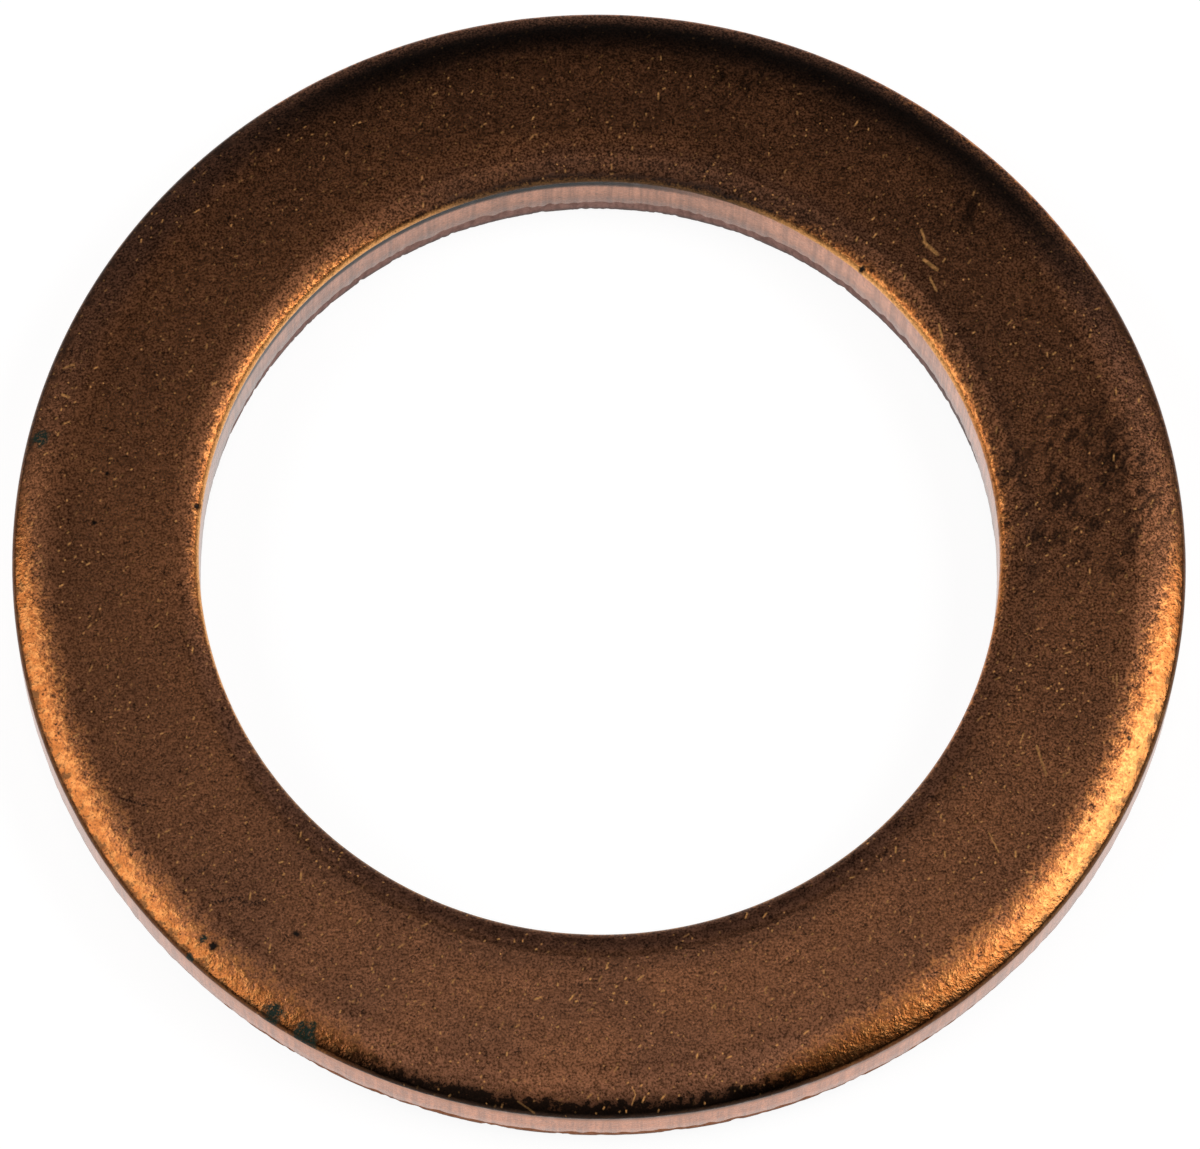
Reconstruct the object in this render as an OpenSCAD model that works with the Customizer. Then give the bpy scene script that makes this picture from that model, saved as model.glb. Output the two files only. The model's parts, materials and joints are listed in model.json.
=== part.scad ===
// Flat copper crush washer, blanked and pierced from soft sheet in one press stroke.
// The section keeps the marks of that stroke. The upper face rolls down into both edges,
// a smooth shear land follows, and the torn lower part of each wall leans back to its foot.
// The washer lies on its lower face, centred on Z. All sizes are in millimetres.

/* [Ring] */
// Outside diameter over the outer shear land
outer_d = 17.9; // [16:0.1:40]
// Bore diameter over the shear land in the bore
bore_d = 12.2; // [5:0.1:14]
// Thickness of the copper sheet
thickness = 1.5; // [1.2:0.05:3]

/* [Outer edge] */
// Width of the die roll on the outer edge
outer_roll_w = 0.88; // [0.5:0.02:1.2]
// Depth of the die roll on the outer edge
outer_roll_depth = 0.22; // [0.1:0.01:0.35]
// Radius of the crease where the outer die roll turns into its shear land
outer_crease_r = 0.12; // [0.03:0.01:0.2]
// Height of the torn zone at the foot of the outer wall
outer_tear_h = 0.5; // [0.3:0.05:0.7]
// How far the torn zone of the outer wall leans in at its foot
outer_lean = 0.1; // [0.02:0.01:0.2]

/* [Bore edge] */
// Width of the die roll round the bore
bore_roll_w = 0.44; // [0.3:0.02:1]
// Depth of the die roll round the bore
bore_roll_depth = 0.1; // [0.06:0.01:0.3]
// Radius of the crease where the bore die roll turns into its shear land
bore_crease_r = 0.14; // [0.03:0.01:0.2]
// Height of the torn zone at the foot of the bore
bore_tear_h = 0.5; // [0.3:0.05:0.7]
// How far the torn zone of the bore opens out at its foot
bore_lean = 0.07; // [0.02:0.01:0.2]

/* [Corners] */
// Radius that tumbling leaves on the lower corners
foot_r = 0.04; // [0.02:0.01:0.1]

/* [Hidden] */
$fn = 128;
tarnished_copper = "#6b4429";
outer_r = outer_d / 2;
bore_r = bore_d / 2;
// Length by which a cutting shape runs past the metal that it cuts
overrun = 1;
// Height by which the crease stands proud of the roll, so that the two arcs cross cleanly
arc_crossing = 0.00002;

// The sheet between the two walls, with square upper corners and sharp feet
module blank_section() {
    polygon([
        [bore_r + bore_lean, 0],
        [outer_r - outer_lean, 0],
        [outer_r, outer_tear_h],
        [outer_r, thickness],
        [bore_r, thickness],
        [bore_r, bore_tear_h],
    ]);
}

// What the die roll takes off an upper corner. The corner is at the origin, with its metal at x < 0, y < 0.
// The roll is an arc that leaves the upper face level, and the crease is a small arc inside it
// that touches both the roll and the wall.
module roll_waste(roll_w, roll_depth, crease_r) {
    roll_r = (pow(roll_w, 2) + pow(roll_depth, 2)) / (2 * roll_depth);
    crease_rise = sqrt(pow(roll_r - crease_r, 2) - pow(roll_w - crease_r, 2));
    crease_y = crease_rise - roll_r + arc_crossing;
    roll_end_x = (roll_w - crease_r) * roll_r / (roll_r - crease_r) - roll_w;

    difference() {
        translate([-roll_w, crease_y]) square([roll_w + overrun, overrun - crease_y]);
        intersection() {
            translate([-roll_w, 0]) translate([0, -roll_r]) circle(r = roll_r);
            translate([-roll_w - overrun, crease_y - overrun])
                square([roll_w + overrun + roll_end_x, 2 * overrun]);
        }
        translate([-crease_r, crease_y]) circle(r = crease_r);
    }
}

// What tumbling takes off a lower corner, for a wall that leans back from x = 0 to x = -lean at its foot
module foot_waste(tear_h, lean) {
    lean_angle = atan(lean / tear_h);
    foot = [-lean, 0];
    tangent_length = foot_r * tan(45 - lean_angle / 2);
    arc_centre = foot + [-tangent_length, foot_r];

    difference() {
        polygon([
            foot,
            foot + tangent_length * [sin(lean_angle), cos(lean_angle)],
            arc_centre,
            foot - [tangent_length, 0],
        ]);
        translate(arc_centre) circle(r = foot_r);
    }
}

// Half of the washer's section, in the plane of its axis
module section() {
    difference() {
        blank_section();
        translate([outer_r, thickness]) roll_waste(outer_roll_w, outer_roll_depth, outer_crease_r);
        translate([outer_r, 0]) foot_waste(outer_tear_h, outer_lean);
        translate([bore_r, thickness]) mirror([1, 0])
            roll_waste(bore_roll_w, bore_roll_depth, bore_crease_r);
        translate([bore_r, 0]) mirror([1, 0]) foot_waste(bore_tear_h, bore_lean);
    }
}

// The whole ring is one piece of copper
module washer() {
    color(tarnished_copper) rotate_extrude() section();
}

washer();
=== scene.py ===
"""A tarnished copper crush washer and its studio, laid out as a Blender add-on and run as a script."""
import json
import math
from functools import reduce
from types import SimpleNamespace

import bpy
import numpy as np
from bpy.props import FloatProperty, FloatVectorProperty, IntProperty, PointerProperty
from mathutils import Matrix, Vector


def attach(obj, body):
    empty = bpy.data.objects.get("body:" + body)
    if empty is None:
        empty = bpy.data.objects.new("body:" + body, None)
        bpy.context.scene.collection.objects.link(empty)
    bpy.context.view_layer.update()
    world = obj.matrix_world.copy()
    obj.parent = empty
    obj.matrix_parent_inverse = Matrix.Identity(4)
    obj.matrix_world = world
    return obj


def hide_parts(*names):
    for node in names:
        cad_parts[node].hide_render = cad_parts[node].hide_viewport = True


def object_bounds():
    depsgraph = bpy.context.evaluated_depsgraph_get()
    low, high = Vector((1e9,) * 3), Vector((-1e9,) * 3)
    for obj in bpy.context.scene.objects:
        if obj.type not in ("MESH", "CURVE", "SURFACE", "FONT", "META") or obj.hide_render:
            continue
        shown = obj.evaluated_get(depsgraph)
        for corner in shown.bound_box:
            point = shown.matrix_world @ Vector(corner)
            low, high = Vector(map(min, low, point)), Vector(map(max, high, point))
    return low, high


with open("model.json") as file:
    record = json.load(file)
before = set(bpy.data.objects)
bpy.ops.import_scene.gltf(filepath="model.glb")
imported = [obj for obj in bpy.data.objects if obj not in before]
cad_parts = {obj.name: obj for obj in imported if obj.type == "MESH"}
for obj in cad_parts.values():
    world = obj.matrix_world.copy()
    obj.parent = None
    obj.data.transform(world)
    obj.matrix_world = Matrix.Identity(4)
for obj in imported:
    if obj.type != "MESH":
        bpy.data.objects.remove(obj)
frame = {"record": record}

bl_info = {
    "name": "Copper crush washer",
    "version": (1, 0, 0),
    "blender": (4, 5, 0),
    "location": "3D View > Sidebar > Washer",
    "description": "Builds a stamped copper sealing ring with its tarnish, and the studio that lights it",
    "category": "Add Mesh",
}

MM = 0.001
CAD_LOW, CAD_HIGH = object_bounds()
BORE = next(mount for mount in frame["record"]["mounts"] if mount["name"] == "bore")
RING_SEED = 18
FACE_SLOT, LAND_SLOT, OUTER_TEAR_SLOT, BORE_TEAR_SLOT = 0, 1, 2, 3
FACE_GRAIN = 0.035 * MM
WALL_GRAIN = 0.045 * MM
RUBBING = math.radians(58.0)


# Settings that a user would change


class RingSizes(bpy.types.PropertyGroup):
    """Sizes of the stamped section, as the solid has them."""

    outer_radius: FloatProperty(
        name="Outer radius",
        description="Radius over the outer shear land",
        default=(CAD_HIGH.x - CAD_LOW.x) / 2,
        unit="LENGTH",
    )
    bore_radius: FloatProperty(
        name="Bore radius",
        description="Radius over the shear land in the bore",
        default=BORE["dims"]["r_mm"] * MM,
        unit="LENGTH",
    )
    thickness: FloatProperty(
        name="Thickness",
        description="Thickness of the copper sheet",
        default=CAD_HIGH.z - CAD_LOW.z,
        unit="LENGTH",
    )
    outer_roll_width: FloatProperty(
        name="Outer roll width",
        description="Width of the die roll on the outer edge",
        default=0.88 * MM,
        unit="LENGTH",
    )
    outer_roll_depth: FloatProperty(
        name="Outer roll depth",
        description="Depth of the die roll on the outer edge",
        default=0.22 * MM,
        unit="LENGTH",
    )
    outer_crease: FloatProperty(
        name="Outer crease",
        description="Radius where the outer die roll turns into its shear land",
        default=0.12 * MM,
        unit="LENGTH",
    )
    outer_lean: FloatProperty(
        name="Outer lean",
        description="How far the torn zone of the outer wall leans in at its foot",
        default=0.10 * MM,
        unit="LENGTH",
    )
    bore_roll_width: FloatProperty(
        name="Bore roll width",
        description="Width of the die roll round the bore",
        default=0.44 * MM,
        unit="LENGTH",
    )
    bore_roll_depth: FloatProperty(
        name="Bore roll depth",
        description="Depth of the die roll round the bore",
        default=0.10 * MM,
        unit="LENGTH",
    )
    bore_crease: FloatProperty(
        name="Bore crease",
        description="Radius where the bore die roll turns into its shear land",
        default=0.14 * MM,
        unit="LENGTH",
    )
    bore_lean: FloatProperty(
        name="Bore lean",
        description="How far the torn zone of the bore opens out at its foot",
        default=0.07 * MM,
        unit="LENGTH",
    )
    tear_height: FloatProperty(
        name="Tear height",
        description="Height of the torn zone at the foot of each wall",
        default=0.50 * MM,
        unit="LENGTH",
    )
    foot_radius: FloatProperty(
        name="Foot radius",
        description="Radius that tumbling leaves on the lower corners",
        default=0.04 * MM,
        unit="LENGTH",
    )
    raggedness: FloatProperty(
        name="Raggedness",
        description="How far the torn edge is pulled back at its deepest bites",
        default=0.025 * MM,
        unit="LENGTH",
    )
    tear_wander: FloatProperty(
        name="Tear wander",
        description="How far the line between land and torn zone wanders up and down",
        default=0.030 * MM,
        unit="LENGTH",
    )
    scoring: FloatProperty(
        name="Scoring",
        description="Depth of the drag lines on the walls",
        default=0.004 * MM,
        unit="LENGTH",
    )
    steps_round: IntProperty(
        name="Steps round",
        description="Mesh steps round the ring",
        default=1440,
        min=64,
    )


class RingFinish(bpy.types.PropertyGroup):
    """Colours of the copper, in linear values."""

    tarnish: FloatVectorProperty(
        name="Tarnish",
        description="Brown oxide on the flat face",
        default=(0.250, 0.098, 0.043),
        subtype="COLOR",
    )
    # Also the darkest painted shade, at the back right, the front and the back of the bore.
    deep_tarnish_and_shade: FloatVectorProperty(
        name="Deep tarnish",
        description="Darkest patches of oxide",
        default=(0.138, 0.058, 0.030),
        subtype="COLOR",
    )
    # Painted shade on the parts of the rolls that slope away to the back, not a layer on the metal.
    roll_shade: FloatVectorProperty(
        name="Film",
        description="Dull film on the parts of the rolled edges that handling does not reach",
        default=(0.160, 0.070, 0.041),
        subtype="COLOR",
    )
    # Also painted as a highlight where the lamps strike the rolls and along the top of the outer wall.
    rubbed: FloatVectorProperty(
        name="Rubbed copper",
        description="Copper that handling has rubbed bright on the rolled edges",
        default=(0.420, 0.135, 0.034),
        subtype="COLOR",
    )
    # Also painted as a gold highlight on the rubbed rolls, strongest at the front right.
    nick: FloatVectorProperty(
        name="Nick",
        description="Fresh metal in scratches and nicks",
        default=(0.880, 0.435, 0.145),
        subtype="COLOR",
    )
    sheared: FloatVectorProperty(
        name="Sheared wall",
        description="Copper on the shear land outside",
        default=(0.455, 0.173, 0.082),
        subtype="COLOR",
    )
    # A shaded copy of the outer wall's colour: painted shade inside the bore.
    shaded_bore_sheared: FloatVectorProperty(
        name="Bore sheared wall",
        description="Copper on the shear land in the bore",
        default=(0.360, 0.160, 0.095),
        subtype="COLOR",
    )
    outer_torn: FloatVectorProperty(
        name="Outer torn zone",
        description="Duller copper on the torn zone outside",
        default=(0.310, 0.160, 0.110),
        subtype="COLOR",
    )
    outer_glance: FloatVectorProperty(
        name="Outer glance",
        description="Tint of the torn zone outside where it is seen at a glancing angle",
        default=(0.50, 0.28, 0.19),
        subtype="COLOR",
    )
    bore_torn: FloatVectorProperty(
        name="Bore torn zone",
        description="Duller copper on the torn zone in the bore",
        default=(0.295, 0.180, 0.148),
        subtype="COLOR",
    )
    bore_glance: FloatVectorProperty(
        name="Bore glance",
        description="Tint of the torn zone in the bore where it is seen at a glancing angle",
        default=(0.45, 0.38, 0.39),
        subtype="COLOR",
    )
    # Also the colour of painted shade on the face, the bore wall and the feet of the walls.
    grime_and_shade: FloatVectorProperty(
        name="Grime",
        description="Dirt in pits and along the creases",
        default=(0.014, 0.010, 0.008),
        subtype="COLOR",
    )
    verdigris: FloatVectorProperty(
        name="Verdigris",
        description="Dark green corrosion spots",
        default=(0.014, 0.025, 0.017),
        subtype="COLOR",
    )


class StudioSettings(bpy.types.PropertyGroup):
    """Where the camera stands, and how bright the studio is."""

    camera_distance: FloatProperty(
        name="Camera distance",
        description="From the lens to the middle of the ring",
        default=138.447 * MM,
        unit="LENGTH",
    )
    camera_elevation: FloatProperty(
        name="Camera elevation",
        description="Height of the camera above the horizon",
        default=math.radians(70.247),
        subtype="ANGLE",
    )
    camera_roll: FloatProperty(
        name="Camera roll",
        description="Turn of the camera about its line of sight",
        default=math.radians(1.859),
        subtype="ANGLE",
    )
    camera_aim: FloatVectorProperty(
        name="Camera aim",
        description="Point on the floor that the camera looks at",
        default=(0.0195 * MM, 0.1187 * MM, 0.0),
        subtype="TRANSLATION",
    )
    lens: FloatProperty(
        name="Lens",
        description="Focal length in millimetres on a 36 mm wide sensor",
        default=270.0,
    )
    lamp_distance: FloatProperty(
        name="Lamp distance",
        description="From each soft box to the ring",
        default=0.12,
        unit="LENGTH",
    )
    top_distance: FloatProperty(
        name="Top distance",
        description="From the panel overhead to the ring",
        default=0.16,
        unit="LENGTH",
    )
    right_lamp: FloatProperty(
        name="Right lamp",
        description="Radiance of the soft box on the right, where 1 is white",
        default=2.85,
    )
    left_lamp: FloatProperty(
        name="Left lamp",
        description="Radiance of the soft box on the left, where 1 is white",
        default=1.75,
    )
    top_lamp: FloatProperty(
        name="Top lamp",
        description="Radiance of the panel overhead, where 1 is white",
        default=1.72,
    )
    backdrop: FloatProperty(
        name="Backdrop",
        description="Brightness of the backdrop in reflections, where 1 is white",
        default=0.6,
    )
    room: FloatProperty(
        name="Room",
        description="Brightness of the room above the backdrop, where 1 is white",
        default=0.01,
    )
    floor_shadow: FloatProperty(
        name="Floor shadow",
        description="How much of the floor's white comes from the lamps, and so shows the shadow",
        default=0.2,
        subtype="FACTOR",
    )


# The section of the ring


def arc(centre, radius, start, end, count):
    """Points on a circle about centre, from the angle start to the angle end, without the last one."""
    angle = np.linspace(start, end, count, endpoint=False)[:, None]
    return np.asarray(centre) + radius * np.hstack([np.cos(angle), np.sin(angle)])


def straight(start, end, count):
    """Points on a line from start to end, without the last one."""
    share = np.linspace(0.0, 1.0, count, endpoint=False)[:, None]
    return np.asarray(start) * (1.0 - share) + np.asarray(end) * share


def run(points, side=0, roll=0.0, torn=0.0, wall=False):
    """A stretch of the section, with what each point belongs to: its side is 1 on the outer edge, -1 on the
    bore edge and 0 on a face; roll goes from 0 to 1 along a die roll and on to 2 round its crease; torn goes
    from 0 to 1 down a torn zone; wall is 1 on the wall below the crease."""
    values = {"side": side, "roll": roll, "torn": torn, "wall": wall}
    return {"points": points} | {key: np.zeros(len(points)) + value for key, value in values.items()}


def joined(runs):
    """Several runs as one, end to end."""
    return {key: np.concatenate([each[key] for each in runs]) for key in runs[0]}


def edge_section(sizes, side, roll_width, roll_depth, crease, lean):
    """One edge of the ring from the upper face to the lower face, with the wall at x = 0 and the metal
    at x < 0.

    The die roll is an arc through (-width, thickness) and (0, thickness - depth) that starts level. The
    crease is a small arc inside it that touches both the roll and the wall. Below the straight land the torn
    zone leans back by the given amount, and the foot is an arc that touches the torn zone and the lower face.
    """
    foot = sizes.foot_radius
    roll_radius = (roll_width**2 + roll_depth**2) / (2.0 * roll_depth)
    roll_centre = (-roll_width, sizes.thickness - roll_radius)
    crease_rise = math.sqrt((roll_radius - crease) ** 2 - (roll_width - crease) ** 2)
    crease_centre = (-crease, roll_centre[1] + crease_rise)
    meeting = math.atan2(crease_rise, roll_width - crease)
    lean_angle = math.atan2(lean, sizes.tear_height)
    foot_length = foot * math.tan(math.radians(45.0) - lean_angle / 2.0)
    tear_end = (-lean + foot_length * math.sin(lean_angle), foot_length * math.cos(lean_angle))

    rolled = arc(roll_centre, roll_radius, math.radians(90.0), meeting, 10)
    creased = arc(crease_centre, crease, meeting, 0.0, 7)
    land = straight((0.0, crease_centre[1]), (0.0, sizes.tear_height), 3)
    tear = straight((0.0, sizes.tear_height), tear_end, 5)
    corner = arc((-lean - foot_length, foot), foot, -lean_angle, math.radians(-90.0), 3)
    return joined([
        run(rolled, side, roll=(rolled[:, 0] + roll_width) / (roll_radius * math.cos(meeting))),
        run(creased, side, roll=np.linspace(1.0, 2.0, 7, endpoint=False)),
        run(land, side, roll=2.0, wall=True),
        run(tear, side, roll=2.0, torn=1.0 - tear[:, 1] / sizes.tear_height, wall=True),
        run(corner, side, roll=2.0, torn=1.0, wall=True),
    ])


def ring_section(sizes):
    """The whole closed section, clockwise: down the outer edge, in along the lower face, up the bore edge and
    out along the upper face."""
    outer_roll = (sizes.outer_roll_width, sizes.outer_roll_depth, sizes.outer_crease)
    bore_roll = (sizes.bore_roll_width, sizes.bore_roll_depth, sizes.bore_crease)
    outer = edge_section(sizes, 1, *outer_roll, sizes.outer_lean)
    bore = edge_section(sizes, -1, *bore_roll, sizes.bore_lean)
    outer["points"] = outer["points"] + [sizes.outer_radius, 0.0]
    bore["points"] = bore["points"] * [-1.0, 1.0] + [sizes.bore_radius, 0.0]
    bore = {key: values[::-1] for key, values in bore.items()}
    outer_foot = (sizes.outer_radius - sizes.outer_lean - sizes.foot_radius, 0.0)
    bore_foot = (sizes.bore_radius + sizes.bore_lean + sizes.foot_radius, 0.0)
    lower = run(straight(outer_foot, bore_foot, 3))
    upper = run(straight(bore["points"][-1], outer["points"][0], 7)[1:])
    return joined([outer, lower, bore, upper])


# Relief that stamping and handling leave on the ring


def ring_noise(rng, count, slowest, fastest):
    """Periodic noise round the ring with a spread of 1: cosines of all whole-number waves from slowest to
    fastest with random phases, each weaker than the one before by the root of its number."""
    waves = np.zeros(count // 2 + 1, complex)
    numbers = np.arange(slowest, fastest + 1)
    waves[numbers] = np.exp(2j * np.pi * rng.random(len(numbers))) / np.sqrt(numbers)
    noise = np.fft.irfft(waves, count)
    return noise / noise.std()


def positive(noise, cutoff):
    """The part of a noise above its cutoff, from 0 to 1."""
    return np.clip((noise - cutoff) / (noise.max() - cutoff), 0.0, 1.0)


def ring_surface(sizes):
    """Points of the ring on a grid of steps round and steps along the section, and the section itself.

    A point is the section's (radius, height) turned about Z. Drag lines are cut into the walls along their
    whole height, bites are pulled back from the torn zones, the more so the nearer the foot, and the creases
    and the upper line of the torn zone wander up and down a little. All of it goes into the metal or along
    the wall, so the ring keeps its outside sizes.
    """
    rng = np.random.default_rng(RING_SEED)
    section = ring_section(sizes)
    count = sizes.steps_round
    angle = np.linspace(0.0, 2.0 * np.pi, count, endpoint=False)[:, None]
    radius, height = (section["points"][:, axis][None, :] * np.ones((count, 1)) for axis in (0, 1))

    for side in (1, -1):
        here = section["side"] == side
        torn = section["torn"] * here
        wall = section["wall"] * here
        crease = np.exp(-(((section["roll"] - 1.5) / 0.4) ** 2)) * here * (1 - section["wall"])
        lines = positive(ring_noise(rng, count, 60, 700), 0.0)[:, None]
        bites = positive(ring_noise(rng, count, 25, 420), 0.2)[:, None]
        lifts = positive(ring_noise(rng, count, 12, 300), 0.4)[:, None]
        wander = positive(ring_noise(rng, count, 5, 160), -2.0)[:, None]
        breaks = ring_noise(rng, count, 9, 260)[:, None]
        tear_line = np.exp(-(((section["points"][:, 1] - sizes.tear_height) / (0.15 * MM)) ** 2)) * wall
        depth = sizes.scoring * lines * wall + sizes.raggedness * bites * torn**2
        radius = radius - side * depth
        height = height + sizes.raggedness * lifts * torn**6
        height = height - 0.3 * sizes.raggedness * wander * crease
        height = height + sizes.tear_wander * np.clip(breaks, -2.0, 2.0) * tear_line

    return np.stack([radius * np.cos(angle), radius * np.sin(angle), height], axis=2), section


def ring_mesh(name, sizes):
    """A closed quad mesh over the grid, which wraps round in both directions, with its attributes."""
    points, section = ring_surface(sizes)
    around, along = points.shape[:2]
    number = np.arange(around * along).reshape(around, along)
    onward = np.roll(number, -1, axis=0)
    quads = np.stack([number, np.roll(number, -1, axis=1), np.roll(onward, -1, axis=1), onward], axis=2)

    mesh = bpy.data.meshes.new(name)
    mesh.from_pydata(points.reshape(-1, 3).tolist(), [], quads.reshape(-1, 4).tolist())
    both_walls = section["wall"] * np.roll(section["wall"], -1)
    any_torn = section["torn"] + np.roll(section["torn"], -1)
    tear_slots = np.where(section["side"] > 0, OUTER_TEAR_SLOT, BORE_TEAR_SLOT)
    slots = np.where(both_walls > 0, np.where(any_torn > 0, tear_slots, LAND_SLOT), FACE_SLOT)
    mesh.polygons.foreach_set("material_index", np.tile(slots, around).astype(np.int32))
    for key in ("side", "roll", "torn"):
        attribute = mesh.attributes.new(key, "FLOAT", "POINT")
        attribute.data.foreach_set("value", np.tile(section[key], around).astype(np.float32))
    mesh.shade_smooth()
    mesh.validate()
    return mesh


# Node building


class Board:
    """Adds nodes to one node tree and links them."""

    def __init__(self, tree):
        self.tree = tree

    def add(self, kind, inputs=None, **settings):
        """A new node with its settings and its inputs."""
        node = self.tree.nodes.new(kind)
        node.location = (190 * (len(self.tree.nodes) % 10), -230 * (len(self.tree.nodes) // 10))
        for key, value in settings.items():
            setattr(node, key, value)
        self.feed(node, inputs or {})
        return node

    def feed(self, node, inputs):
        """Sets a node's inputs, by name or number, to values, or links them to sockets."""
        for key, value in inputs.items():
            if isinstance(value, bpy.types.NodeSocket):
                self.tree.links.new(value, node.inputs[key])
            else:
                node.inputs[key].default_value = value

    def math(self, operation, *values):
        """The result of a maths node."""
        return self.add("ShaderNodeMath", dict(enumerate(values)), operation=operation).outputs[0]

    def vector(self, operation, *values):
        """The vector that a vector maths node gives."""
        return self.add("ShaderNodeVectorMath", dict(enumerate(values)), operation=operation).outputs[0]

    def measure(self, operation, *values):
        """The number that a vector maths node gives."""
        return self.add("ShaderNodeVectorMath", dict(enumerate(values)), operation=operation).outputs["Value"]

    def ease(self, value, low, high, start=0.0, end=1.0):
        """A smooth step from start to end as the value goes from low to high."""
        inputs = {"Value": value, "From Min": low, "From Max": high, "To Min": start, "To Max": end}
        return self.add("ShaderNodeMapRange", inputs, interpolation_type="SMOOTHSTEP").outputs[0]

    def noise(self, vector, scale, detail=2.0, roughness=0.5):
        """Noise from about 0 to 1 with the given number of cells to the metre."""
        inputs = {"Vector": vector, "Scale": scale, "Detail": detail, "Roughness": roughness}
        return self.add("ShaderNodeTexNoise", inputs).outputs[0]

    def mix(self, share, first, second, blend="MIX"):
        """Two colours mixed by a share."""
        inputs = {0: share, 6: first, 7: second}
        return self.add("ShaderNodeMix", inputs, data_type="RGBA", blend_type=blend).outputs[2]

    def group(self, tree, inputs):
        """The outputs of a placed node group."""
        return self.add("ShaderNodeGroup", inputs, node_tree=tree).outputs

    def attribute(self, name):
        """A number that the mesh holds at each point."""
        return self.add("ShaderNodeAttribute", attribute_name=name).outputs["Fac"]

    def place(self):
        """Object coordinates, in metres."""
        return self.add("ShaderNodeTexCoord").outputs["Object"]


def strongest(board, masks):
    """The largest of several masks at each point."""
    return reduce(lambda first, second: board.math("MAXIMUM", first, second), masks)


def least(board, values):
    """The smallest of several values at each point."""
    return reduce(lambda first, second: board.math("MINIMUM", first, second), values)


def product(board, masks):
    """Several masks multiplied."""
    return reduce(lambda first, second: board.math("MULTIPLY", first, second), masks)


def weighted(board, start, terms):
    """A start value plus several values, each times its weight."""
    for value, weight in terms:
        start = board.math("MULTIPLY_ADD", value, weight, start)
    return start


def new_group(name, inputs, outputs):
    """A shader node group with named sockets: a vector where the name is Vector, and numbers otherwise.
    Returns its board, its input sockets and its output node."""
    tree = bpy.data.node_groups.new(name, "ShaderNodeTree")
    for key in inputs:
        kind = "NodeSocketVector" if key == "Vector" else "NodeSocketFloat"
        tree.interface.new_socket(name=key, in_out="INPUT", socket_type=kind)
    for key in outputs:
        tree.interface.new_socket(name=key, in_out="OUTPUT", socket_type="NodeSocketFloat")
    board = Board(tree)
    return board, board.add("NodeGroupInput").outputs, board.add("NodeGroupOutput")


def grain_group():
    """Fine grain of worked copper: a light and dark shade, dark pits, and fine and broad heights for bump."""
    board, given, result = new_group("Copper grain", ("Vector", "Scale"), ("Shade", "Pits", "Fine", "Broad"))
    fine = board.noise(given["Vector"], given["Scale"], 1.0, 0.6)
    broad = board.noise(given["Vector"], board.math("MULTIPLY", given["Scale"], 0.3), 2.0, 0.6)
    shade = weighted(board, 0.0, [(broad, 0.25), (fine, 0.75)])
    depth = weighted(board, 0.0, [(broad, 0.65), (fine, 0.35)])
    pits = board.ease(depth, 0.385, 0.32)
    board.feed(result, {"Shade": shade, "Pits": pits, "Fine": fine, "Broad": broad})
    return board.tree


def nick_group():
    """Short straight nicks, one to a cell at most: the distance along and across a heading from the cell's
    own point, cut off at the given length and width, in the given share of the cells. Headings spread by
    about 40 degrees either way from the given one, and most nicks are faint."""
    names = ("Vector", "Cells", "Length", "Width", "Share", "Heading")
    board, given, result = new_group("Short nicks", names, ("Mask",))
    inputs = {"Vector": given["Vector"], "Scale": given["Cells"]}
    cells = board.add("ShaderNodeTexVoronoi", inputs, voronoi_dimensions="2D", feature="F1")
    offset = board.vector("SUBTRACT", given["Vector"], cells.outputs["Position"])
    flat = board.vector("MULTIPLY", offset, (1.0, 1.0, 0.0))
    chance = board.add("ShaderNodeSeparateXYZ", {0: cells.outputs["Color"]}).outputs
    turn = board.math("ADD", board.math("MULTIPLY_ADD", chance[0], 1.4, -0.7), given["Heading"])
    heading = board.add(
        "ShaderNodeCombineXYZ", {0: board.math("COSINE", turn), 1: board.math("SINE", turn), 2: 0.0}
    ).outputs[0]
    along = board.math("ABSOLUTE", board.measure("DOT_PRODUCT", flat, heading))
    across = board.measure("LENGTH", board.vector("CROSS_PRODUCT", flat, heading))
    length = board.math("MULTIPLY", given["Length"], board.math("MULTIPLY_ADD", chance[1], 0.8, 0.2))
    inside = board.ease(board.math("DIVIDE", along, length), 1.0, 0.3)
    thin = board.ease(board.math("DIVIDE", across, given["Width"]), 1.0, 0.2)
    picked = board.ease(board.math("DIVIDE", chance[2], given["Share"]), 1.0, 0.2)
    mask = board.math("MULTIPLY", board.math("MULTIPLY", inside, thin), picked)
    board.feed(result, {"Mask": mask})
    return board.tree


# Finishes


# Marks on the upper face, in plan and in millimetres: centres and radii, or two ends and a width

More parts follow.
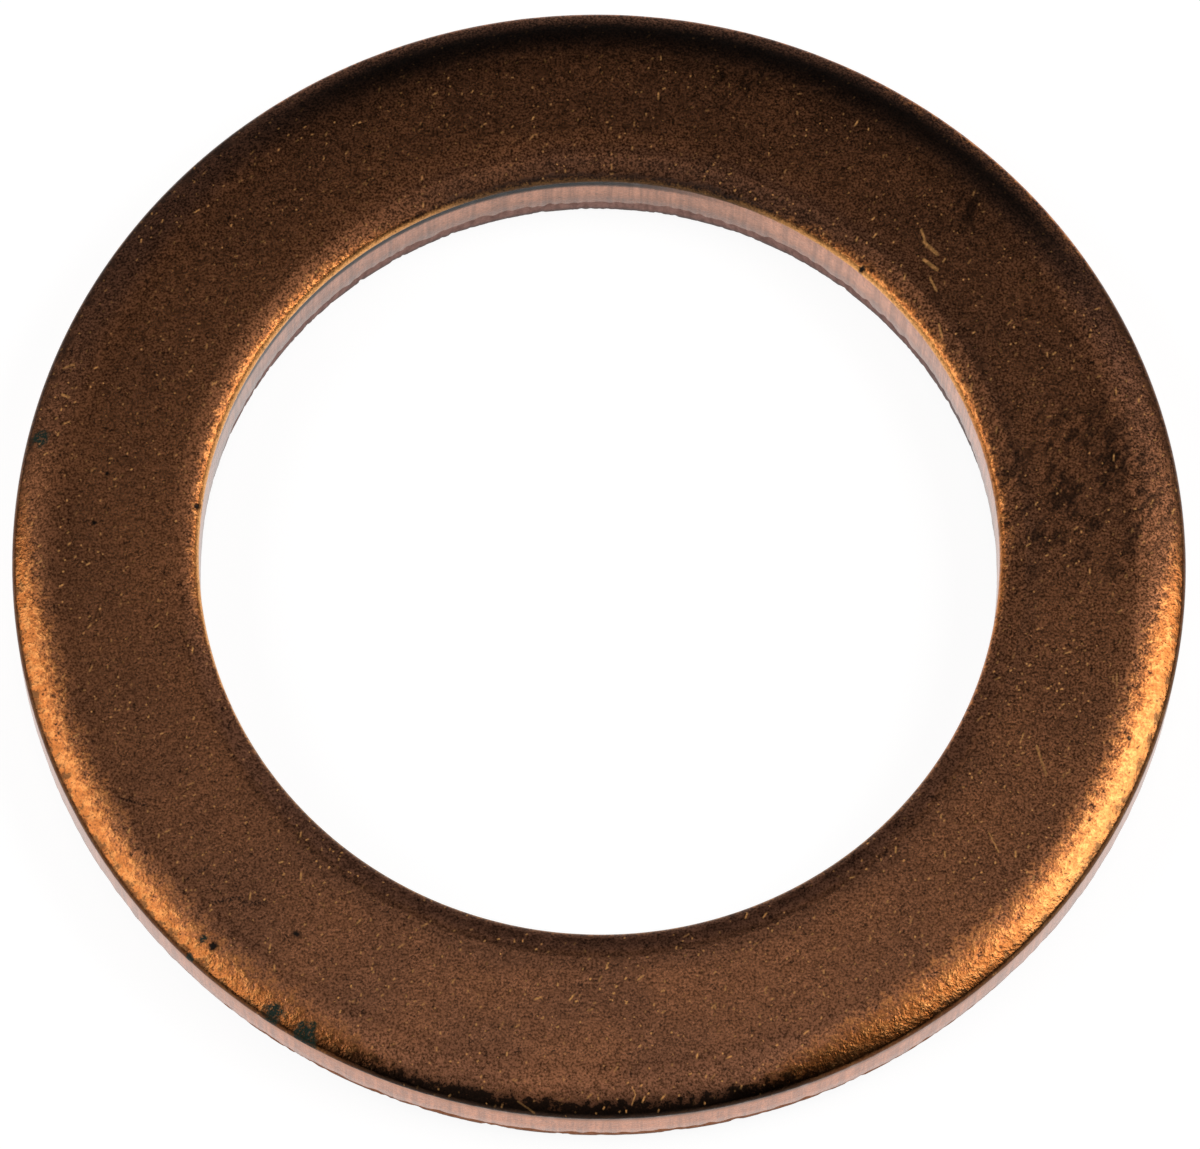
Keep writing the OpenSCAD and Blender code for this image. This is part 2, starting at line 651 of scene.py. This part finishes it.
SMUDGES = (
    ((7.3, 1.2), 2.2),
    ((1.9, 7.9), 0.8),
    ((5.6, 6.0), 1.0),
)
VERDIGRIS_SPOTS = (
    ((-4.65, -7.50), 0.20),
    ((-4.15, -7.80), 0.25),
    ((-8.60, 1.55), 0.18),
    ((-5.75, -6.40), 0.09),
    ((-5.95, -6.65), 0.09),
)
DIRT_SPOTS = (
    ((-4.35, -6.30), 0.09),
    ((-5.60, -6.50), 0.10),
    ((3.90, 4.75), 0.07),
    ((8.10, -2.75), 0.06),
    ((-7.55, 0.95), 0.05),
    ((-7.70, 0.15), 0.05),
    ((-6.15, 0.50), 0.08),
)
BRIGHT_SCRATCHES = (
    ((4.80, 5.40), (4.85, 5.25), 0.030),
    ((4.85, 5.20), (5.05, 5.00), 0.045),
    ((4.85, 4.90), (5.05, 4.75), 0.045),
    ((4.95, 4.60), (5.05, 4.40), 0.030),
    ((5.10, 3.85), (5.15, 3.65), 0.025),
    ((6.70, -2.95), (6.85, -3.40), 0.030),
    ((6.00, -4.35), (6.15, -4.65), 0.018),
    ((7.90, -1.95), (7.90, -1.75), 0.022),
    ((6.45, -2.90), (6.50, -2.75), 0.020),
    ((0.75, -8.50), (0.80, -8.60), 0.016),
    ((0.80, -8.60), (0.75, -8.75), 0.016),
    ((-0.95, -8.75), (-0.70, -8.90), 0.020),
    ((-8.30, 2.70), (-8.15, 2.75), 0.035),
    ((-8.30, 2.25), (-8.20, 2.20), 0.035),
)
DARK_SCRATCHES = (
    ((1.45, 6.25), (1.60, 6.55), 0.060),
    ((-6.05, -5.50), (-5.75, -5.30), 0.045),
    ((-7.10, -4.25), (-6.70, -4.35), 0.035),
    ((-5.65, -5.85), (-5.20, -5.75), 0.050),
    ((-5.15, -5.85), (-4.85, -5.80), 0.070),
)


def rgba(colour):
    """A property's colour with full alpha."""
    return (*colour, 1.0)


def spots(board, flat, marks):
    """How far a point in plan is from the nearest of several spots, over that spot's radius. Each spot is
    given by its centre and its radius in millimetres."""
    shares = []
    for (x, y), radius in marks:
        distance = board.measure("DISTANCE", flat, (x * MM, y * MM, 0.0))
        shares.append(board.math("DIVIDE", distance, radius * MM))
    return least(board, shares)


def lines(board, flat, marks):
    """How far a point in plan is from the nearest of several straight marks, over that mark's width. Each
    mark is given by its two ends and its width in millimetres. The nearest point of a mark is its start plus
    the mark times the share of it that the point lies along, which is kept between 0 and 1."""
    shares = []
    for start, end, width in marks:
        start = Vector((*start, 0.0)) * MM
        line = Vector((*end, 0.0)) * MM - start
        along = board.measure("DOT_PRODUCT", flat, line / line.length_squared)
        offset = start.dot(line) / line.length_squared
        clamped = board.add("ShaderNodeMath", {0: along, 1: offset}, operation="SUBTRACT", use_clamp=True)
        nearest = board.vector("MULTIPLY_ADD", clamped.outputs[0], line, start)
        shares.append(board.math("DIVIDE", board.measure("DISTANCE", flat, nearest), width * MM))
    return least(board, shares)


def ragged(board, share, noise, depth, full):
    """A mask that is 1 within the given share of a mark and fades to 0 at its edge, which a noise moves in
    and out by the given depth."""
    moved = board.math("ADD", share, board.math("MULTIPLY_ADD", noise, -depth, 0.5 * depth))
    return board.ease(moved, 1.0, full)


def reach(board, place, bearing, low, high):
    """0 to 1 across the ring along a bearing, between two distances from its axis in millimetres."""
    heading = (math.cos(math.radians(bearing)), math.sin(math.radians(bearing)), 0.0)
    return board.ease(board.measure("DOT_PRODUCT", place, heading), low * MM, high * MM)


def new_material(name):
    """An empty material, its board and its Principled shader."""
    material = bpy.data.materials.new(name)
    material.use_nodes = True
    board = Board(material.node_tree)
    return material, board, material.node_tree.nodes["Principled BSDF"]


def face_values(board, groups):
    """What the layers of the face share: the point in space and in plan and its distance from the axis, the
    edge that it is on and how far down the roll, the grain, noises of two coarser sizes, and the roll with
    patches added, by which the rubbed bands and the dark bands have ragged edges."""
    place = board.place()
    flat = board.vector("MULTIPLY", place, (1.0, 1.0, 0.0))
    side, roll = board.attribute("side"), board.attribute("roll")
    grain = board.group(groups["grain"], {"Vector": place, "Scale": 1.0 / FACE_GRAIN})
    patches = board.noise(place, 1.0 / (0.22 * MM), 2.0, 0.6)
    return SimpleNamespace(
        place=place,
        flat=flat,
        radius=board.measure("LENGTH", flat),
        side=side,
        outer=board.ease(side, 0.0, 1.0),
        bore=board.ease(side, 0.0, -1.0),
        roll=roll,
        shade=grain["Shade"],
        pits=grain["Pits"],
        fine=grain["Fine"],
        mottle=grain["Broad"],
        clouds=board.noise(place, 1.0 / (1.5 * MM), 1.0, 0.6),
        patches=patches,
        worn=board.math("MULTIPLY_ADD", patches, 0.5, roll),
    )


def face_oxide_and_shade(board, face, finish):
    """Colour of the oxide with painted shade and light. It is darker towards the back right, at the front and
    at the back of the bore, which is painted shade, thicker round the bore, and thinner inside at the back
    left. A darker, greyer colour of painted shade lies on the parts of the rolls that slope away to the back,
    which is outside at the back and in the bore at the front. The outer roll at the front is paler, which is
    painted light."""
    collar = product(board, [
        board.ease(face.radius, 6.9 * MM, 6.5 * MM),
        board.ease(face.roll, 0.3, 0.0),
        reach(board, face.place, -40.0, -3.0, 3.0),
    ])
    back = board.math("MULTIPLY", reach(board, face.place, 90.0, 4.5, 6.0), face.bore)
    near_bore = board.ease(face.radius, 7.4 * MM, 6.6 * MM)
    inner = board.math("MULTIPLY", reach(board, face.place, 130.0, 3.5, 6.5), near_bore)
    # Painted shade: darker towards the back right, at the front and at the back of the bore.
    oxide_and_shade = weighted(board, board.ease(face.clouds, 0.3, 0.7, -0.2, 0.2), [
        (collar, 0.45),
        (reach(board, face.place, 42.0, -9.0, 9.0), 0.42),
        (reach(board, face.place, -105.0, 0.0, 9.0), 0.85),
        (back, 0.7),
        (inner, -0.35),
    ])
    oxide = board.mix(oxide_and_shade, rgba(finish.tarnish), rgba(finish.deep_tarnish_and_shade))

    # Painted shade: a darker, greyer colour where the rolls slope away to the back.
    y = board.add("ShaderNodeSeparateXYZ", {0: face.place}).outputs[1]
    away = board.ease(board.math("MULTIPLY", face.side, y), 0.0, 5.0 * MM)
    painted_shade = board.math("MULTIPLY", away, board.ease(face.roll, 0.1, 0.6, 0.0, 0.85))
    roll_shade = board.mix(1.0, rgba(finish.roll_shade), board.ease(face.side, -1.0, 1.0, 1.5, 1.0), "MULTIPLY")
    oxide = board.mix(painted_shade, oxide, roll_shade)
    # Painted light: the outer roll is lightened at the front.
    at_front = reach(board, face.place, -90.0, 3.0, 7.0)
    pale = product(board, [at_front, face.outer, board.ease(face.roll, 0.05, 0.75, 0.0, 1.5)])
    return board.mix(1.0, oxide, board.math("ADD", pale, 1.0), "MULTIPLY")


def face_rub_and_sheen(board, face):
    """Where the rolls are rubbed bright, placed where the lamps' highlights fall, so partly rubbed copper and
    partly painted highlight: outside at the front right and front left and a little at the right, and in the
    bore at its right and left. The roll, the place on the ring and the grain add up, so the edge is gritty."""
    # Placed where the lamps' highlights fall: partly rubbed copper, partly painted highlight.
    outside = strongest(board, [
        board.math("MULTIPLY", reach(board, face.place, -36.0, 6.0, 7.8), 1.17),
        reach(board, face.place, -145.0, 6.0, 7.8),
        board.math("MULTIPLY", reach(board, face.place, 30.0, 6.5, 8.0), 0.35),
    ])
    inside = strongest(board, [reach(board, face.place, bearing, 4.2, 5.9) for bearing in (30.0, 157.0)])
    wear_and_sheen = board.math("MULTIPLY_ADD", outside, face.outer, product(board, [inside, face.bore, 0.6]))
    gritty = weighted(board, face.worn, [(face.fine, 0.5), (face.mottle, 0.8), (wear_and_sheen, 0.9)])
    return board.ease(gritty, 2.05, 2.75)


def face_metal(board, face, finish, rub_and_sheen):
    """Colour of the face under its dirt and painted shade: oxide with its painted shade and light, and copper
    where it is rubbed bright and painted with highlight, flecked with gold, with a painted gold highlight at
    the front right and bright copper along the bore's crease away from its right side, all with the light and
    dark of the grain, which is deeper at the back."""
    # Painted highlight: light gold at the front right of the outer roll, and gold flecks on the rubbed rolls.
    hot_highlight = board.math("MULTIPLY", reach(board, face.place, -27.0, 8.3, 8.75), 0.2)
    gold_and_highlight = board.math("ADD", hot_highlight, board.ease(face.mottle, 0.46, 0.62, 0.0, 0.21))
    off_right = board.ease(reach(board, face.place, -5.0, 4.5, 6.0), 0.0, 1.0, 0.7, 0.15)
    crease = product(board, [board.ease(face.roll, 1.1, 1.5), face.bore, off_right])
    bright = board.mix(board.math("MAXIMUM", gold_and_highlight, crease), rgba(finish.rubbed), rgba(finish.nick))
    metal = board.mix(rub_and_sheen, face_oxide_and_shade(board, face, finish), bright)
    depth = board.math("MULTIPLY_ADD", reach(board, face.place, 65.0, -6.0, 6.0), 0.5, 1.0)
    shade = board.math("POWER", board.ease(face.shade, 0.32, 0.68, 0.42, 1.58), depth)
    return board.mix(board.ease(rub_and_sheen, 0.0, 1.0, 1.0, 0.35), metal, shade, "MULTIPLY")


def face_seams(board, face):
    """Dark bands along the creases, with a chipped edge: along the outer crease but not at the back, in a
    wider band of painted shade at the front, and along the bore's crease at the back and the front, partly
    dirt and partly painted shade. Returns these three."""
    chipped = weighted(board, face.worn, [(face.fine, 0.4), (face.mottle, 0.5)])
    seam = board.ease(chipped, 1.6, 1.75)
    rear = board.math("MULTIPLY", reach(board, face.place, 81.0, 5.4, 7.6), face.outer)
    along = product(board, [seam, face.outer, board.ease(rear, 0.5, 0.0), board.ease(face.roll, 2.05, 1.85)])
    # Painted shade: a wider dark band along the outer crease at the front.
    at_front = reach(board, face.place, -90.0, 7.0, 8.5)
    front = product(board, [at_front, face.outer, board.ease(chipped, 1.46, 1.61)])
    # Along the bore's crease at the back and the front: partly dirt, partly painted shade.
    near = board.math("MULTIPLY", reach(board, face.place, -90.0, 2.0, 4.5), 0.55)
    ends = board.math("MAXIMUM", reach(board, face.place, 90.0, 5.2, 5.9), near)
    return along, front, product(board, [seam, face.bore, ends])


def face_dirt_and_shade(board, face, seams, far_shade):
    """All the dirt and painted shade on the face at its strongest: painted shade at the back of the bore's
    roll, pits, the dark bands along the seams, painted shade on the far edge, dark scratches, smudges that
    are drawn out along the rubbing, and spots."""
    along, front, bore_seam = seams
    # Painted shade at the back of the bore's roll.
    at_back = reach(board, face.place, 90.0, 4.5, 5.8)
    scratches = board.ease(lines(board, face.flat, DARK_SCRATCHES), 1.0, 0.2)
    smudges = board.ease(spots(board, face.flat, SMUDGES), 1.0, 0.3)
    drawn = {"Vector": face.place, "Rotation": (0.0, 0.0, RUBBING), "Scale": (2.2, 1.0, 1.0)}
    turned = board.add("ShaderNodeMapping", drawn, vector_type="TEXTURE").outputs[0]
    streaks = board.noise(turned, 1.0 / (0.2 * MM), 2.0, 0.7)
    return strongest(board, [
        product(board, [at_back, face.bore, board.ease(face.roll, 0.05, 0.5, 0.0, 0.4)]),
        board.math("MULTIPLY", face.pits, 0.6),
        board.math("MULTIPLY", front, 0.96),
        board.math("MULTIPLY", far_shade, board.ease(face.roll, 0.97, 0.70, 0.05, 0.92)),
        board.math("MULTIPLY", board.math("MAXIMUM", along, bore_seam), 0.75),
        board.math("MULTIPLY", scratches, board.ease(face.shade, 0.6, 0.4, 0.25, 0.8)),
        board.math("MULTIPLY", smudges, board.ease(streaks, 0.45, 0.62, 0.0, 0.75)),
        ragged(board, spots(board, face.flat, DIRT_SPOTS), face.mottle, 1.6, 0.3),
    ])


def face_cuts(board, face, groups, rub_and_sheen, far_shade):
    """Fresh metal in dashes, specks and scratches, which are uneven over the face and fainter where it is
    rubbed bright and painted with highlight, and in the painted shade on the far edge."""
    shared = {"Vector": face.place, "Heading": RUBBING}
    dashes = {"Cells": 2.8 / MM, "Length": 0.085 * MM, "Width": 0.022 * MM, "Share": 0.45}
    specks = {"Cells": 7.5 / MM, "Length": 0.038 * MM, "Width": 0.021 * MM, "Share": 0.4}
    cuts = strongest(board, [
        board.group(groups["nick"], shared | dashes)["Mask"],
        board.group(groups["nick"], shared | specks)["Mask"],
        board.ease(lines(board, face.flat, BRIGHT_SCRATCHES), 1.0, 0.2, 0.0, 0.8),
    ])
    return product(board, [
        cuts,
        board.ease(face.shade, 0.4, 0.6, 0.6, 1.0),
        board.ease(face.clouds, 0.4, 0.6, 0.5, 1.0),
        board.ease(rub_and_sheen, 0.6, 0.1, 0.3, 1.0),
        board.ease(far_shade, 0.3, 0.8, 1.0, 0.2),
    ])


def face_roughness(board, face, rub_and_sheen, cuts):
    """Roughness: patchy all over, and higher on the rolls where they are not rubbed bright and painted with
    highlight, round the back of the bore and in cuts."""
    onward = board.math("SUBTRACT", face.roll, board.ease(face.side, -1.0, 1.0, 0.1, -0.05))
    matt = board.math("MULTIPLY", board.ease(onward, 0.0, 0.3, 0.0, 0.14), board.ease(rub_and_sheen, 1.0, 0.0))
    near_bore = board.ease(face.radius, 7.0 * MM, 6.55 * MM, 0.0, 0.08)
    lip = board.math("MULTIPLY", reach(board, face.place, 90.0, 4.0, 6.0), near_bore)
    patchy = board.ease(face.patches, 0.3, 0.7, 0.26, 0.30)
    return weighted(board, patchy, [(board.math("MAXIMUM", matt, lip), 1.0), (cuts, 0.25)])


def face_bump(board, face, rub_and_sheen):
    """Bump from the grain, stronger on the rolls and strongest where they are rubbed bright and painted with
    highlight.
    """
    relief = weighted(board, 0.0, [(face.fine, 0.7), (face.mottle, 2.2)])
    strength = weighted(board, board.ease(face.roll, 0.0, 0.4, 0.14, 0.45), [
        (rub_and_sheen, board.ease(face.side, -1.0, 1.0, 0.7, 0.35)),
    ])
    inputs = {"Strength": strength, "Distance": 0.006 * MM, "Height": relief}
    return board.add("ShaderNodeBump", inputs).outputs[0]


def face_material(finish, groups):
    """Tarnished sheet: grainy brown oxide with painted shade and light in it, bright where the rolled edges
    are rubbed and painted with highlight, with painted shade on the rolls where they slope away to the back
    and on the far edge, dark bands along the creases that are partly painted shade, pits, smudges, nicks,
    scratches and a few spots of verdigris."""
    material, board, shader = new_material("tarnished_copper")
    face = face_values(board, groups)
    rub_and_sheen = face_rub_and_sheen(board, face)
    seams = face_seams(board, face)
    # Painted shade on the far edge of the face, at the back.
    far_edge = board.ease(face.radius, 7.8 * MM, 8.6 * MM)
    far_shade = board.math("MULTIPLY", reach(board, face.place, 80.0, 4.6, 7.2), far_edge)
    cuts = face_cuts(board, face, groups, rub_and_sheen, far_shade)
    spread = ragged(board, spots(board, face.flat, VERDIGRIS_SPOTS), face.mottle, 1.5, 0.5)
    green = board.math("MULTIPLY", spread, board.ease(face.shade, 0.62, 0.5, 0.5, 1.0))
    metal = face_metal(board, face, finish, rub_and_sheen)
    # Dirt and painted shade, in one dark colour.
    metal = board.mix(face_dirt_and_shade(board, face, seams, far_shade), metal, rgba(finish.grime_and_shade))
    metal = board.mix(cuts, metal, rgba(finish.nick))
    board.feed(shader, {
        "Base Color": board.mix(green, metal, rgba(finish.verdigris)),
        "Metallic": board.math("SUBTRACT", 1.0, board.math("MAXIMUM", green, seams[2])),
        "Roughness": face_roughness(board, face, rub_and_sheen, cuts),
        "Specular IOR Level": 0.1,
        "Normal": face_bump(board, face, rub_and_sheen),
    })
    return material


def wall_grain(board, place, groups, finish, colour):
    """A wall's colour and height: drag lines down the wall, grain and pits."""
    drawn = board.vector("MULTIPLY", place, (1.0, 1.0, 0.05))
    streaks = board.noise(drawn, 1.0 / (0.10 * MM), 3.0, 0.65)
    grain = board.group(groups["grain"], {"Vector": place, "Scale": 1.0 / WALL_GRAIN})
    metal = board.mix(1.0, colour, board.ease(streaks, 0.3, 0.7, 0.75, 1.25), "MULTIPLY")
    metal = board.mix(1.0, metal, board.ease(grain["Shade"], 0.34, 0.66, 0.85, 1.15), "MULTIPLY")
    metal = board.mix(board.math("MULTIPLY", grain["Pits"], 0.3), metal, rgba(finish.grime_and_shade))
    return metal, board.math("MULTIPLY_ADD", streaks, 0.8, grain["Fine"])


def land_material(finish, groups):
    """Shear land: copper with drag lines and a painted highlight along its top outside. In the bore it is
    painted lighter at the right and darker downwards, as painted light and shade. Painted shade lies along
    its top outside at the front, and a dark line along its top at the back of the bore."""
    material, board, shader = new_material("sheared_copper")
    place = board.place()
    side = board.attribute("side")
    rise = board.add("ShaderNodeSeparateXYZ", {0: place}).outputs[2]
    outer, bore = board.ease(side, 0.0, 1.0), board.ease(side, 0.0, -1.0)
    # The bore's wall takes a shaded copy of the outer wall's colour: painted shade.
    colour = board.mix(outer, rgba(finish.shaded_bore_sheared), rgba(finish.sheared))
    metal, height = wall_grain(board, place, groups, finish, colour)
    # Painted light: the bore's wall is lightened at the right.
    lit_right = board.math("MULTIPLY", reach(board, place, 25.0, 3.5, 6.0), bore)
    metal = board.mix(1.0, metal, board.math("MULTIPLY_ADD", lit_right, 0.45, 1.0), "MULTIPLY")
    # Painted shade: the bore's wall darkens downwards.
    painted_shade = board.math("MULTIPLY", board.ease(rise, 0.95 * MM, 0.55 * MM, 0.0, 0.4), bore)
    metal = board.mix(painted_shade, metal, rgba(finish.grime_and_shade))
    # Painted highlight along the top of the outer wall.
    top_highlight = board.math("MULTIPLY", board.ease(rise, 0.95 * MM, 1.2 * MM, 0.0, 0.8), outer)
    metal = board.mix(top_highlight, metal, rgba(finish.rubbed))
    # Painted shade along the top of the outer wall at the front.
    at_front = reach(board, place, -75.0, 7.4, 8.7)
    dark_shade = board.math("MULTIPLY", board.ease(rise, 1.06 * MM, 1.2 * MM, 0.0, 0.6), at_front)
    metal = board.mix(dark_shade, metal, rgba(finish.grime_and_shade))
    line = product(board, [board.ease(rise, 1.1 * MM, 1.22 * MM), bore, reach(board, place, 120.0, 3.8, 5.6)])

    bump = board.add("ShaderNodeBump", {"Strength": 1.0, "Distance": 0.003 * MM, "Height": height})
    board.feed(shader, {
        "Base Color": board.mix(line, metal, rgba(finish.grime_and_shade)),
        "Metallic": board.math("SUBTRACT", 1.0, line),
        "Roughness": 0.22,
        "Specular IOR Level": 0.1,
        "Normal": bump.outputs[0],
    })
    return material


def tear_material(name, colour, glance, finish, groups):
    """Torn zone: duller, rougher copper, which stays dark where it is seen at a glancing angle, with painted
    shade, partly dirt, along its foot, and painted shade at the right of the bore."""
    material, board, shader = new_material(name)
    place = board.place()
    metal, height = wall_grain(board, place, groups, finish, rgba(colour))
    # Painted shade, partly dirt, along the foot of the torn zone.
    foot = board.ease(board.attribute("torn"), 0.5, 0.95, 0.0, 0.55)
    bore = board.ease(board.attribute("side"), 0.0, -1.0, 0.0, 0.6)
    # Painted shade on the bore's torn zone at its right.
    right = board.math("MULTIPLY", reach(board, place, 10.0, 5.2, 6.1), bore)
    dark_shade = board.math("MAXIMUM", foot, right)
    bump = board.add("ShaderNodeBump", {"Strength": 1.0, "Distance": 0.005 * MM, "Height": height})
    board.feed(shader, {
        "Base Color": board.mix(dark_shade, metal, rgba(finish.grime_and_shade)),
        "Metallic": board.math("SUBTRACT", 1.0, dark_shade),
        "Roughness": 0.5,
        "Specular Tint": rgba(glance),
        "Normal": bump.outputs[0],
    })
    return material


# Studio


def make_floor(studio):
    """A wide floor that glows white to the eye and in reflections, and still takes the lamps' shadow."""
    half = 1.5
    mesh = bpy.data.meshes.new("floor")
    corners = [(-half, -half, 0.0), (half, -half, 0.0), (half, half, 0.0), (-half, half, 0.0)]
    mesh.from_pydata(corners, [], [(0, 1, 2, 3)])
    floor = bpy.data.objects.new("floor", mesh)
    bpy.context.collection.objects.link(floor)

    material, board, shader = new_material("white_floor")
    shade = studio.floor_shadow
    path = board.add("ShaderNodeLightPath").outputs
    seen = strongest(board, [path["Is Camera Ray"], path["Is Glossy Ray"], path["Is Transmission Ray"]])
    board.feed(shader, {
        "Base Color": board.math("MULTIPLY", seen, shade),
        "Roughness": 1.0,
        "Specular IOR Level": 0.0,
        "Emission Color": (1.0, 1.0, 1.0, 1.0),
        "Emission Strength": board.math("MULTIPLY", seen, 1.0 - 0.5 * shade),
    })
    mesh.materials.append(material)


def make_world(studio):
    """A pale backdrop round the horizon that fades into a dim room overhead, all white to the camera."""
    world = bpy.data.worlds.new("studio")
    world.use_nodes = True
    board = Board(world.node_tree)
    background = world.node_tree.nodes["Background"]
    direction = board.add("ShaderNodeTexCoord").outputs["Generated"]
    rise = board.add("ShaderNodeSeparateXYZ", {0: direction}).outputs[2]
    low, high = math.sin(math.radians(8.0)), math.sin(math.radians(20.0))
    backdrop = board.ease(rise, low, high, studio.backdrop, studio.room)
    camera_ray = board.add("ShaderNodeLightPath").outputs["Is Camera Ray"]
    strength = board.math("MAXIMUM", backdrop, camera_ray)
    board.feed(background, {"Color": (1.0, 1.0, 1.0, 1.0), "Strength": strength})
    bpy.context.scene.world = world


def make_lamp(name, distance, zenith, bearing, level_size, tilt_size, radiance):
    """A soft box at an angle from overhead and a bearing from +X towards +Y, turned to the ring. Its two
    sides, level and tilted, are shares of its distance. A panel of area A shows the radiance L at a power of
    4 A L."""
    lamp = bpy.data.lights.new(name, "AREA")
    lamp.shape = "RECTANGLE"
    lamp.size = level_size * distance
    lamp.size_y = tilt_size * distance
    lamp.energy = 4.0 * lamp.size * lamp.size_y * radiance
    holder = bpy.data.objects.new(name, lamp)
    bpy.context.collection.objects.link(holder)
    zenith, bearing = math.radians(zenith), math.radians(bearing)
    flat = math.sin(zenith)
    towards = Vector((flat * math.cos(bearing), flat * math.sin(bearing), math.cos(zenith)))
    holder.location = towards * distance
    holder.rotation_euler = towards.to_track_quat("Z", "Y").to_euler()
    holder.visible_camera = False


def make_camera(studio):
    """The camera looks along +Y and down, from its distance and elevation, turned by its roll."""
    camera = bpy.data.cameras.new("camera")
    camera.lens = studio.lens
    camera.sensor_width = 36.0
    camera.clip_start = 0.01
    holder = bpy.data.objects.new("camera", camera)
    bpy.context.collection.objects.link(holder)
    tilt = math.radians(90.0) - studio.camera_elevation
    turn = Matrix.Rotation(tilt, 4, "X") @ Matrix.Rotation(studio.camera_roll, 4, "Z")
    back = Vector((0.0, -math.sin(tilt), math.cos(tilt)))
    aim = Vector(studio.camera_aim)
    holder.matrix_world = Matrix.Translation(aim + back * studio.camera_distance) @ turn
    bpy.context.scene.camera = holder


# Add-on


class CRUSH_WASHER_OT_stage(bpy.types.Operator):
    """Makes the floor, the backdrop, the lamps and the camera"""

    bl_idname = "crush_washer.stage"
    bl_label = "Studio"

    def execute(self, context):
        studio = context.scene.washer_studio
        context.scene.view_settings.view_transform = "Standard"
        make_floor(studio)
        make_world(studio)
        make_lamp(
            "right_soft_box", studio.lamp_distance, zenith=43.3, bearing=3.2,
            level_size=0.645, tilt_size=0.632, radiance=studio.right_lamp,
        )
        make_lamp(
            "left_soft_box", studio.lamp_distance, zenith=49.7, bearing=187.9,
            level_size=0.868, tilt_size=0.723, radiance=studio.left_lamp,
        )
        make_lamp(
            "top_panel", studio.top_distance, zenith=4.0, bearing=90.0,
            level_size=0.241, tilt_size=0.420, radiance=studio.top_lamp,
        )
        make_camera(studio)
        return {"FINISHED"}


class CRUSH_WASHER_OT_ring(bpy.types.Operator):
    """Makes the stamped copper ring with its tarnished face and sheared walls"""

    bl_idname = "crush_washer.ring"
    bl_label = "Stamped ring"

    def execute(self, context):
        sizes, finish = context.scene.washer_sizes, context.scene.washer_finish
        groups = {
            "grain": grain_group(),
            "nick": nick_group(),
        }
        mesh = ring_mesh("crush_washer", sizes)
        mesh.materials.append(face_material(finish, groups))
        mesh.materials.append(land_material(finish, groups))
        for side in ("outer", "bore"):
            colour, glance = getattr(finish, f"{side}_torn"), getattr(finish, f"{side}_glance")
            mesh.materials.append(tear_material(f"{side}_torn_copper", colour, glance, finish, groups))
        ring = bpy.data.objects.new("crush_washer", mesh)
        context.collection.objects.link(ring)
        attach(ring, "root")
        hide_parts("washer")
        return {"FINISHED"}


class CRUSH_WASHER_PT_panel(bpy.types.Panel):
    """Lists what the add-on makes"""

    bl_idname = "CRUSH_WASHER_PT_panel"
    bl_label = "Crush washer"
    bl_space_type = "VIEW_3D"
    bl_region_type = "UI"
    bl_category = "Washer"

    def draw(self, context):
        layout = self.layout
        scene = context.scene
        for operator in (CRUSH_WASHER_OT_stage, CRUSH_WASHER_OT_ring):
            layout.operator(operator.bl_idname)
        for settings in (scene.washer_sizes, scene.washer_finish, scene.washer_studio):
            box = layout.box()
            for key in settings.__annotations__:
                box.prop(settings, key)


CLASSES = (
    RingSizes,
    RingFinish,
    StudioSettings,
    CRUSH_WASHER_OT_stage,
    CRUSH_WASHER_OT_ring,
    CRUSH_WASHER_PT_panel,
)


def register():
    for each in CLASSES:
        bpy.utils.register_class(each)
    bpy.types.Scene.washer_sizes = PointerProperty(type=RingSizes)
    bpy.types.Scene.washer_finish = PointerProperty(type=RingFinish)
    bpy.types.Scene.washer_studio = PointerProperty(type=StudioSettings)


def unregister():
    del bpy.types.Scene.washer_sizes
    del bpy.types.Scene.washer_finish
    del bpy.types.Scene.washer_studio
    for each in reversed(CLASSES):
        bpy.utils.unregister_class(each)


def main():
    """Registers the add-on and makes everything."""
    register()
    bpy.ops.crush_washer.stage()
    bpy.ops.crush_washer.ring()


if __name__ == "__main__":
    main()
